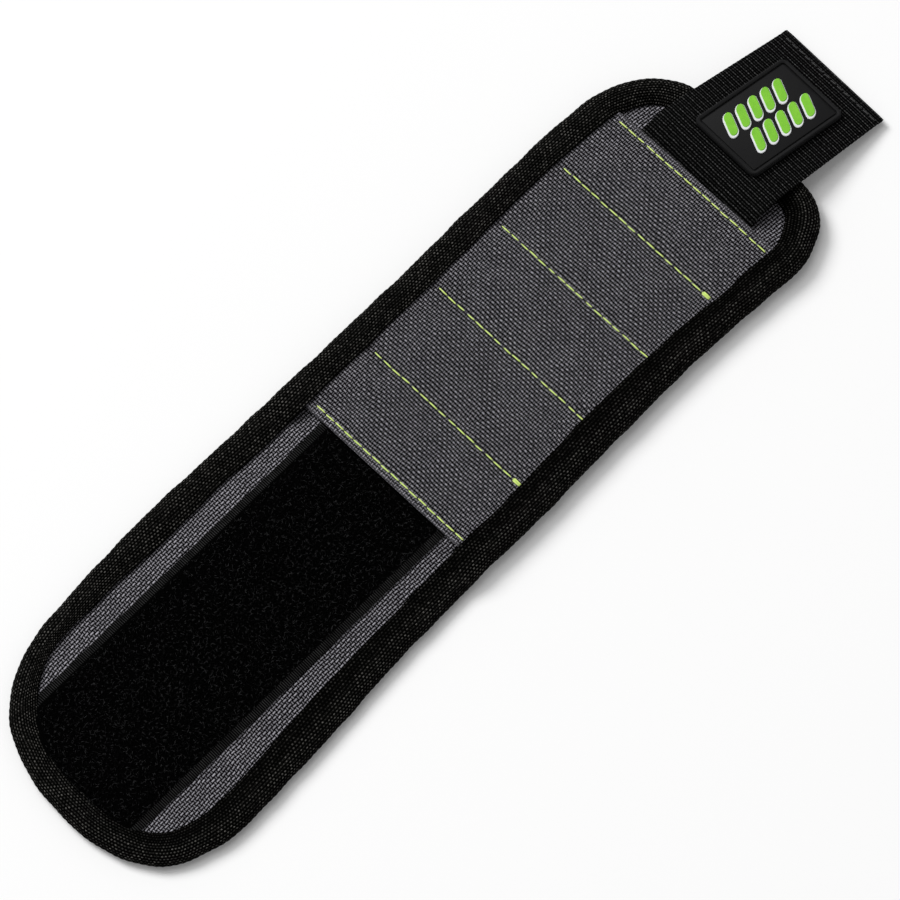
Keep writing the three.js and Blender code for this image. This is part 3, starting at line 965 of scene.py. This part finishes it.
def edge_path():
    """Points round the band's edge, from the tab end's middle by the left side, and how far round each is."""
    quarter = np.linspace(0, math.pi / 2, 40)
    end_start = BAND_LENGTH - END_CORNER
    end_side = half_width(np.array([end_start]), 0)[0] - END_CORNER
    tip_side = half_width(np.array([LOOP_CORNER]), 0)[0] - LOOP_CORNER
    sides = np.arange(end_start - 1, LOOP_CORNER, -1.0)
    stretches = (
        (np.full(12, BAND_LENGTH), np.linspace(0, end_side, 13)[:-1]),
        (end_start + END_CORNER * np.cos(quarter), end_side + END_CORNER * np.sin(quarter)),
        (sides, half_width(sides, 0)),
        (LOOP_CORNER - LOOP_CORNER * np.sin(quarter), tip_side + LOOP_CORNER * np.cos(quarter)),
        (np.zeros(6), np.linspace(tip_side, 0, 7)[1:]),
    )
    left = np.concatenate([np.stack(stretch, 1) for stretch in stretches])
    whole = np.concatenate([left, left[-2::-1] * (1, -1)])
    for station, side, pull in DRAWN_CORNERS:
        far = np.hypot(whole[:, 0] - station, whole[:, 1] - side)
        outward = np.sign((station - BAND_LENGTH / 2, side)) * math.sqrt(0.5)
        whole = whole + outward * (pull * np.exp(-((far / DRAWN_REACH) ** 2)))[:, None]
    steps = np.linalg.norm(np.diff(whole, axis=0), axis=1)
    return whole, np.concatenate([[0], np.cumsum(steps)])


EDGE, EDGE_DISTANCES = edge_path()
EDGE_LENGTH = EDGE_DISTANCES[-1]


def on_edge(distance):
    """Station and side of the band's edge, at a distance along it."""
    return np.stack([np.interp(distance, EDGE_DISTANCES, column) for column in EDGE.T], 1)


def ripple(distance):
    """Uneven small waves along the binding."""
    return np.sin(distance / 2.3) * 0.5 + np.sin(distance / 3.7 + 1.1) * 0.7 + np.sin(distance / 9.1 + 0.4)


def lay_binding(along, across):
    distance = along * EDGE_LENGTH
    station, side = on_edge(distance).T
    run = on_edge((distance + PATH_LOOK) % EDGE_LENGTH) - on_edge((distance - PATH_LOOK) % EDGE_LENGTH)
    run /= np.linalg.norm(run, axis=1)[:, None]
    on_pockets = smooth((station - HEM_START + POCKET_RISE_FROM) / RISE_RUN)
    on_flap = smooth((station - HEM_END + FLAP_FALL_FROM) / RISE_RUN)
    on_left = smooth(side / LIP_BLEND + 0.5)
    calm = smooth(np.minimum(distance, EDGE_LENGTH - distance) / JOIN_CALM)
    top = LOOP_BINDING + (POCKET_BINDING - LOOP_BINDING) * on_pockets
    top = top + TOP_RIPPLE * calm * ripple(distance + 31)
    face = LOOP_EDGE + (POCKET_EDGE - LOOP_EDGE) * on_pockets + (FLAP_EDGE - POCKET_EDGE) * on_flap
    lip_top = face + BINDING_THICKNESS
    lip_width = through(RIGHT_LIP, station) * (1 - on_left) + through(LEFT_LIP, station) * on_left
    lip_low = np.clip((LIP_SHARE - across) / LIP_SHARE, 0, 1)
    lip_high = np.clip((across - 1 + LIP_SHARE) / LIP_SHARE, 0, 1)
    lip_reach = (lip_width - BINDING_HALF + LIP_RIPPLE * calm * ripple(distance)) * (lip_low + lip_high)
    angle = (np.clip((across - LIP_SHARE) / (1 - 2 * LIP_SHARE), 0, 1) - 0.5) * math.pi
    frayed = FRAY * ripple(distance * 1.3 + 5) + YARN_FRAY * np.sin(2 * math.pi * distance / YARN_PITCH)
    inset = BINDING_HALF * (1 - np.cos(angle)) + lip_reach + calm * frayed * np.cos(angle)
    height = top / 2 * (1 + np.sin(angle)) - (top - lip_top) * lip_high**LIP_CURVE
    height = height + UNDER_LIP_RISE * lip_low**2
    tape_across = (lip_high - lip_low) * BINDING_FLAT + angle / math.pi * BINDING_ROUND
    place = on_band(station - run[:, 1] * inset, side + run[:, 0] * inset, height)
    return np.stack([distance, tape_across], 1), place


def binding_material():
    """Black yarns with a few lit ones. The lip has painted shade at its brink, and farther in along the right
    side.
    """
    material, tree, surface = new_material("binding_tape")
    weave, place = woven(tree, 0.62, 0.9, 0.9, 0.45)
    along, across = parted(tree, place)
    lip_edge = BINDING_CUT / 2
    half_way = EDGE_LENGTH / 2
    on_right = ramp(tree, along, half_way, half_way + 30)
    # Painted shade: a dark band on the lip's inner slope along the right side, and a dark line at its brink.
    inner = maths(tree, "MULTIPLY", ramp(tree, across, lip_edge - 6.0, lip_edge - 3.2), on_right)
    brink = maths(tree, "MULTIPLY", ramp(tree, across, lip_edge - 0.5, lip_edge - 0.1), 1.3)
    painted_shade = maths(tree, "MULTIPLY", maths(tree, "MAXIMUM", inner, brink), PAINTED_SHADE_STRENGTH)
    cloud = speckle(tree, place, 0.09, 3.0)
    chance = maths(tree, "POWER", weave["Tone"], 2.0)
    tone = maths(tree, "MULTIPLY", chance, maths(tree, "ADD", cloud, 0.5))
    yarn = mixed(tree, tone, (0.021, 0.0203, 0.019, 1), (0.128, 0.123, 0.114, 1))
    share = ramp(tree, weave["Lit"], 0.25, 1.0)
    share = maths(tree, "MULTIPLY", share, maths(tree, "SUBTRACT", 1.0, painted_shade))
    finish_surface(tree, surface, mixed(tree, share, (0.0005, 0.0005, 0.0004, 1), yarn), 0.7, 0.005)
    raised(tree, weave["Height"], 0.3, surface)
    return material


binding = cloth_grid("binding", int(EDGE_LENGTH / PATH_STEP), PROFILE_STEPS, lay_binding)
edit_all(binding)
bpy.ops.mesh.remove_doubles(threshold=MERGE_GAP * MM)
bpy.ops.object.mode_set(mode="OBJECT")
thicken(binding, BINDING_THICKNESS)
finish_cloth(binding, binding_material())
for piece, fold in cut_to_fold(binding, "binding"):
    stand_for(fold, "binding")
    declare_tape(piece, BINDING_CUT)


# Hook tab
# Black ribbed webbing, sewn under the hem a little off centre and askew. It rises over the end binding and
# droops past the band's end, and its tip is folded under and sewn.
TAB_LENGTH = 56.5
TAB_WIDTH = 44.0
TAB_TAPER = 0.955
TAB_OFFSET = -1.0
TAB_SKEW = math.radians(6.3)
TIP_SKEW = math.radians(1.7)
TAB_SLOPE = math.tan(math.radians(10))
TAB_ROOT = HEM_END + 0.3
TAB_UNDER_HEM = 0.9
TAB_TUCK = TAB_UNDER_HEM + 4.0
TAB_LEDGE = 8.3
LEDGE_INSET = 2.0
ROOT_HEIGHT = 4.9
CREST = TAB_ROOT + 9.5
CREST_EASE = 4.75
WEBBING = 1.1
WEBBING_WALL = 1.0
WEBBING_RIB = 1.65
WEBBING_PICK = 1.03
WEBBING_EDGE = 1.6
WEBBING_EDGE_RUN = 1.2
WEBBING_EDGE_DROP = 0.25
RIB_DEPTH = 0.1
RIB_BULGE = 0.03
TIP_ROUND = 0.55
TIP_UNDER = 1.8
TIP_SEAM = TAB_LENGTH - 2.6
TIP_SEAM_HALF = TAB_WIDTH / 2 * TAB_TAPER - 1.2
TIP_STITCH = 2.3
TIP_STITCH_GAP = 0.5
TIP_STITCH_WANDER = 0.1
TIP_STITCH_TURN = 0.05
TIP_THREAD = 0.3
TIP_THREAD_PROUD = 0.06


def tab_plane(station):
    """Height of the tab's underside where it droops over the end binding."""
    return TAB_LEDGE - (station - BAND_LENGTH + LEDGE_INSET) * TAB_SLOPE


def tab_height(station):
    """Height of the tab's underside: a smooth rise from the hem to the crest, then the droop."""
    end = CREST + CREST_EASE
    share = np.clip((station - TAB_ROOT) / (end - TAB_ROOT), 0, 1)
    turn = (CREST - CREST_EASE - TAB_ROOT) / (end - TAB_ROOT)
    at = (-turn + np.sqrt(turn * turn + (1 - 2 * turn) * share)) / (1 - 2 * turn)
    curve = (1 - at) ** 2 * ROOT_HEIGHT + 2 * at * (1 - at) * tab_plane(CREST) + at**2 * tab_plane(end)
    return np.where(station < end, curve, tab_plane(station))


def on_tab(along, across, height):
    """Points on the tab, in metres: along from its root, across to its left, and above its underside."""
    station = TAB_ROOT + along * math.cos(TAB_SKEW) + across * math.sin(TIP_SKEW)
    station = np.maximum(station, TAB_ROOT - TAB_UNDER_HEM)
    side = TAB_OFFSET - along * math.sin(TAB_SKEW) + across * math.cos(TIP_SKEW)
    return np.stack([TIP_X + station * MM, side * MM, (tab_height(station) + height) * MM], 1)


def lay_webbing(along, across):
    turn = math.pi * TIP_ROUND
    span = TAB_LENGTH - TIP_ROUND + TAB_TUCK
    cut = along * (span + turn + TIP_UNDER)
    past = np.clip((cut - span) / turn, 0, 1) * math.pi
    back = np.clip(cut - span - turn, 0, None)
    reach = np.minimum(cut, span) - TAB_TUCK + TIP_ROUND * np.sin(past) - back
    drop = TIP_ROUND * (1 - np.cos(past))
    rib_turns = 2 * math.pi * cut / WEBBING_RIB
    rib = RIB_DEPTH / 2 * np.cos(rib_turns) * np.cos(past)
    half = TAB_WIDTH / 2 * (1 + (1 - TAB_TAPER) * (1 - 2 * np.clip(reach / TAB_LENGTH, 0, 1)))
    side = (across * 2 - 1) * (half + RIB_BULGE * np.sin(rib_turns))
    edge = WEBBING_EDGE_DROP * smooth((np.abs(side) - half + WEBBING_EDGE) / WEBBING_EDGE_RUN)
    return np.stack([cut, side], 1), on_tab(reach, side, WEBBING - drop + rib - edge)


def webbing_material():
    material, tree, surface = new_material("ribbed_webbing")
    place = cut_place(tree)
    along, across = parted(tree, swayed(tree, place, 0.5, (0.35, 0.5, 0))[1])
    rib = wave(tree, "COSINE", along, WEBBING_RIB)
    line = wave(tree, "COSINE", along, WEBBING_RIB / 2)
    pick = wave(tree, "COSINE", across, WEBBING_PICK)
    crest = maths(tree, "MULTIPLY", ramp(tree, line, -0.3, 1.0), maths(tree, "MULTIPLY_ADD", rib, 0.35, 0.65))
    dots = maths(tree, "MULTIPLY_ADD", ramp(tree, pick, -0.3, 1.0), 0.7, 0.3)
    share = maths(tree, "MULTIPLY", crest, dots)
    tone = ramp(tree, speckle(tree, place, 1.3, 2.0), 0.3, 0.75)
    yarn = mixed(tree, tone, grey(0.023), grey(0.115))
    finish_surface(tree, surface, mixed(tree, share, grey(0.0005), yarn), 0.7, 0.005)
    raised(tree, share, 0.15, surface)
    return material


webbing = cloth_grid("tab_webbing_cloth", 330, 44, lay_webbing)
thicken(webbing, WEBBING_WALL)
finish_cloth(webbing, webbing_material())
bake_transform(webbing)
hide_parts("tab_webbing")
declare_tape(webbing, TAB_WIDTH)

beads = []
for across in np.arange(-TIP_SEAM_HALF + TIP_STITCH / 2, TIP_SEAM_HALF, TIP_STITCH + TIP_STITCH_GAP):
    reach = np.array([TIP_SEAM + stitch_chance.uniform(-TIP_STITCH_WANDER, TIP_STITCH_WANDER)])
    turn = stitch_chance.uniform(-TIP_STITCH_TURN, TIP_STITCH_TURN) - TIP_SKEW
    middle = on_tab(reach, across, WEBBING + TIP_THREAD_PROUD)[0]
    beads.append(stitch(TIP_STITCH, TIP_THREAD, middle, turn))
tip_stitches = joined(beads, "tab_tip_stitches", thread_material("black_thread", grey(0.006), grey(0.035)))
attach(tip_stitches, "tab")


# Hook tape
# Stiff black hook tape sewn under the tab: a thin woven strip with rows of small bent hooks that grip the
# pile. Each row of hooks faces the other way from the row before it.
HOOK_LENGTH = 22.0
HOOK_WIDTH = 36.0
HOOK_STRIP = 0.35
HOOK_STRIP_GAP = 0.05
HOOK_MIDDLE = TAB_LENGTH - 2.0 - HOOK_LENGTH / 2
HOOK_PITCH = 1.5
HOOK_MARGIN = 1.0
HOOK_SUNK = 0.1
HOOK_TALL = 0.75
HOOK_LINE = ((0, 0), (0.02, 0.35), (0.14, 0.62), (0.34, 0.72), (0.5, 0.6))
HOOK_THICK = 0.22
HOOK_FLAT = 0.6
CRISP_ANGLE = math.radians(40)


def lay_hook_strip(along, across):
    reach = HOOK_MIDDLE + (along - 0.5) * HOOK_LENGTH
    side = (across * 2 - 1) * HOOK_WIDTH / 2
    return np.stack([reach, side], 1), on_tab(reach, side, -HOOK_STRIP_GAP)


def hook_rings():
    """A small hook as a bent bar: a flat section across its middle line, at each of the line's points."""
    line = np.array(HOOK_LINE) * (1, HOOK_TALL / np.max(HOOK_LINE))
    run = np.gradient(line, axis=0)
    run /= np.linalg.norm(run, axis=1)[:, None]
    half = HOOK_THICK / 2
    side = np.array([0, half, 0])
    rings = []
    for (x, z), (along, up) in zip(line, run):
        middle = np.array([x + half * HOOK_FLAT, 0, z])
        out = np.array([up, 0, -along]) * half * HOOK_FLAT
        rings.append([middle - out - side, middle - out + side, middle + out + side, middle + out - side])
    return np.array(rings)


def hook_places(length):
    """Places of a row of hooks on a stretch of the strip, measured from its middle."""
    return np.arange(HOOK_MARGIN - length / 2, length / 2 - HOOK_MARGIN, HOOK_PITCH)


strip = cloth_grid("hook_strip", 30, 40, lay_hook_strip)
thicken(strip, HOOK_STRIP)
finish_cloth(strip, speckled_material("hook_ground", grey(0.008), grey(0.03), 900.0, 3.0, 0.7, 0.05))
hook = hook_rings()
levels, corners = hook.shape[:2]
points = []
faces = []
for row, reach in enumerate(hook_places(HOOK_LENGTH)):
    facing = -1 if row % 2 else 1
    for across in hook_places(HOOK_WIDTH):
        foot = (HOOK_MIDDLE + reach, across, HOOK_SUNK - HOOK_STRIP - HOOK_STRIP_GAP)
        faces += ring_faces(len(points) * levels * corners, levels, corners)
        points.append(hook.reshape(-1, 3) * (facing, facing, -1) + foot)
hooks = mesh_piece("hooks", on_tab(*np.concatenate(points).T), faces)
edit_all(hooks)
bpy.ops.mesh.normals_make_consistent(inside=False)
bpy.ops.object.mode_set(mode="OBJECT")
bpy.ops.object.shade_smooth_by_angle(angle=CRISP_ANGLE)
dress(hooks, speckled_material("hook_nylon", grey(0.012), grey(0.03), 600.0, 3.0, 0.35, 0.05))
for piece in (strip, hooks):
    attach(piece, "tab")
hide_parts("tab_hook")
declare_tape(strip, HOOK_WIDTH)


# Badge
# Moulded black rubber badge, welded on the tab: a raised round rim, a groove inside it and a flat field.
# Raised slanted bars in lime over white stand on the field.
BADGE_LENGTH = 37.4
BADGE_WIDTH = 26.6
BADGE_CORNER = 2.2
BADGE_INNER_CORNER = 0.4
BADGE_STEPS = 8
BADGE_MIDDLE = TAB_LENGTH - 8.3 - BADGE_LENGTH / 2
BADGE_SHIFT = 0.35
BADGE_SLOPE = math.cos(math.atan(TAB_SLOPE))
BADGE_FOOT = WEBBING + 0.1
BADGE_TALL = 2.2
RIM = 1.4
GROOVE = 0.6
GROOVE_DEPTH = 1.0
FIELD_DEPTH = 0.5
FIELD = BADGE_FOOT + BADGE_TALL - FIELD_DEPTH
BADGE_PROFILE = (
    (0.2, 0.0),
    (0.0, 0.3),
    (0.05, BADGE_TALL - 0.7),
    (0.2, BADGE_TALL - 0.25),
    (0.5, BADGE_TALL),
    (0.95, BADGE_TALL - 0.03),
    (RIM - 0.1, BADGE_TALL - 0.3),
    (RIM, BADGE_TALL - GROOVE_DEPTH),
    (RIM + GROOVE * 0.6, BADGE_TALL - GROOVE_DEPTH),
    (RIM + GROOVE * 0.75, BADGE_TALL - FIELD_DEPTH - 0.1),
    (RIM + GROOVE, BADGE_TALL - FIELD_DEPTH),
)
BAR_TALL = 0.55
BAR_SUNK = 0.1
BAR_WIDTH = 3.1
BAR_LENGTH = 7.6
BAR_SLANT = 0.42
BAR_GAP = 5.0
BAR_COUNT = 5
BAR_ROWS = ((4.9, -0.8), (-4.2, 2.0))
BAR_BEVEL = 0.15
BAR_END_FLAT = 0.05
BAR_STEPS = 5
WHITE_MARGIN = 0.4
WHITE_SHIFT = 0.3
WHITE_STEP = 0.2


def rounded_ring(length, width, corner, height, steps):
    """A rounded rectangle as points, seen from above."""
    points = []
    for turn, (sx, sy) in enumerate(((1, 1), (-1, 1), (-1, -1), (1, -1))):
        for step in range(steps + 1):
            angle = math.pi / 2 * (turn + step / steps)
            x = sx * (length / 2 - corner) + corner * math.cos(angle)
            y = sy * (width / 2 - corner) + corner * math.sin(angle)
            points.append((x, y, height))
    return points


def lofted(name, rings):
    """A closed shape on the tab through rings of points, from the lowest outer one to the inner top one."""
    points = np.array(rings, float).reshape(-1, 3)
    return mesh_piece(name, on_tab(*points.T), ring_faces(0, len(rings), len(rings[0])))


def badge_rings():
    rings = []
    for inset, height in BADGE_PROFILE:
        corner = max(BADGE_CORNER - inset, BADGE_INNER_CORNER)
        length = BADGE_LENGTH - 2 * inset
        width = BADGE_WIDTH - 2 * inset
        ring = rounded_ring(length, width, corner, BADGE_FOOT + height, BADGE_STEPS)
        rings.append([(x * BADGE_SLOPE + BADGE_MIDDLE, y + BADGE_SHIFT, z) for x, y, z in ring])
    return rings


def slanted_bar(name, middle, across, margin, high):
    """One bar with round ends, leaning along the badge, and wider all round by a margin."""
    rings = []
    for bevel, height in ((0.0, FIELD - BAR_SUNK), (0.0, high - BAR_BEVEL), (BAR_BEVEL, high)):
        grow = 2 * (margin - bevel)
        corner = BAR_WIDTH / 2 + margin - bevel - BAR_END_FLAT
        ring = rounded_ring(BAR_WIDTH + grow, BAR_LENGTH + grow, corner, height, BAR_STEPS)
        rings.append([(middle + x + y * BAR_SLANT, across + y, z) for x, y, z in ring])
    return lofted(name, rings)


def rubber_material():
    material, tree, surface = new_material("badge_rubber")
    place = own_place(tree)
    cloud = speckle(tree, place, 160.0, 3.0)
    colour = mixed(tree, cloud, (0.006, 0.006, 0.0062, 1), (0.011, 0.011, 0.0115, 1))
    finish_surface(tree, surface, colour, maths(tree, "MULTIPLY_ADD", cloud, 0.15, 0.48), 0.07)
    raised(tree, speckle(tree, place, 2600.0, 2.0), 0.03, surface)
    return material


badge = lofted("badge_plate", badge_rings())
dress(badge, rubber_material())
select_only(badge)
bpy.ops.object.shade_smooth_by_angle(angle=CRISP_ANGLE)
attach(badge, "tab")
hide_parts("tab_badge")

lime = ((0.14, 0.46, 0.012, 1), (0.24, 0.62, 0.03, 1))
white = ((0.72, 0.74, 0.76, 1), (0.86, 0.87, 0.88, 1))
for title, paint, colours, margin, back, high in (
    ("badge_white", "white_rubber", white, WHITE_MARGIN, WHITE_SHIFT, FIELD + BAR_TALL - WHITE_STEP),
    ("badge_lime", "lime_rubber", lime, 0.0, 0.0, FIELD + BAR_TALL),
):
    bars = []
    for across, shift in BAR_ROWS:
        for number in range(BAR_COUNT):
            middle = BADGE_MIDDLE + (number - (BAR_COUNT - 1) / 2) * BAR_GAP + shift - back
            bars.append(slanted_bar(title, middle, across + BADGE_SHIFT - back, margin, high))
    bar_set = joined(bars, title, speckled_material(paint, *colours, 420.0, 3.0, 0.42, 0.06))
    bpy.ops.object.shade_smooth_by_angle(angle=CRISP_ANGLE)
    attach(bar_set, "tab")


# Table, light and camera
# A plain white table, two large soft lamps on the band's left, an even sky, and a long lens high above the
# band's right side.
FLOOR_SIZE = 12.0
FLOOR_GLOW = 0.08
KEY_PLACE = Vector((-0.7, 5.7, 5.6))
KEY_SIZE = 3.7
KEY_POWER = 418.0
TOP_PLACE = Vector((-0.4, 3.5, 7.2))
TOP_SIZE = 7.2
TOP_POWER = 246.0
SKY = 0.25
AZIMUTH = math.radians(-44.09)
ELEVATION = math.radians(70.52)
ROLL = math.radians(-1.66)
DISTANCE = 1.9773
AIM = Vector((-0.0036, -0.00714, 0))
SENSOR = 36.0
LENS = 260.5
FAR_CLIP = 50.0


def backdrop_rays(tree):
    """1 for rays that see the backdrop, straight or in gloss or glass, and 0 for rays that light things."""
    rays = tree.nodes.new("ShaderNodeLightPath").outputs
    seen = maths(tree, "MAXIMUM", rays["Is Camera Ray"], rays["Is Glossy Ray"])
    return maths(tree, "MAXIMUM", seen, rays["Is Transmission Ray"])


def soft_lamp(name, place, size, power):
    lamp = bpy.data.lights.new(name, "AREA")
    lamp.shape = "DISK"
    lamp.size = size
    lamp.energy = power
    holder = bpy.data.objects.new(name, lamp)
    holder.location = place
    holder.rotation_mode = "QUATERNION"
    holder.rotation_quaternion = (-place).to_track_quat("-Z", "Y")
    bpy.context.collection.objects.link(holder)


bpy.ops.object.select_all(action="DESELECT")
bpy.ops.mesh.primitive_plane_add(size=FLOOR_SIZE)
table = bpy.context.object
table.name = "table"
material, tree, surface = new_material("white_table")
finish_surface(tree, surface, grey(0.93), 1.0, 0.0)
surface.inputs["Emission Color"].default_value = grey(1.0)
wire(tree, maths(tree, "MULTIPLY", backdrop_rays(tree), FLOOR_GLOW), surface.inputs["Emission Strength"])
dress(table, material)
table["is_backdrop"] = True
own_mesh(table)

soft_lamp("key_lamp", KEY_PLACE, KEY_SIZE, KEY_POWER)
soft_lamp("top_lamp", TOP_PLACE, TOP_SIZE, TOP_POWER)

world = bpy.data.worlds.new("sky")
bpy.context.scene.world = world
world.use_nodes = True
tree = world.node_tree
background = tree.nodes["Background"]
background.inputs["Color"].default_value = grey(1.0)
strength = maths(tree, "MULTIPLY_ADD", backdrop_rays(tree), 1.0 - SKY, SKY)
tree.links.new(strength, background.inputs["Strength"])

level = math.cos(ELEVATION)
back = Vector((math.sin(AZIMUTH) * level, -math.cos(AZIMUTH) * level, math.sin(ELEVATION)))
right = Vector((math.cos(AZIMUTH), math.sin(AZIMUTH), 0))
up = back.cross(right)
right, up = right * math.cos(ROLL) + up * math.sin(ROLL), up * math.cos(ROLL) - right * math.sin(ROLL)
lens = bpy.data.cameras.new("camera")
lens.sensor_width = SENSOR
lens.lens = LENS
lens.clip_end = FAR_CLIP
camera = bpy.data.objects.new("camera", lens)
facing = Matrix((right, up, back)).transposed().to_4x4()
camera.matrix_world = Matrix.Translation(AIM + DISTANCE * back) @ facing
bpy.context.collection.objects.link(camera)
bpy.context.scene.camera = camera
bpy.context.scene.view_settings.view_transform = "Standard"

low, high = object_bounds()
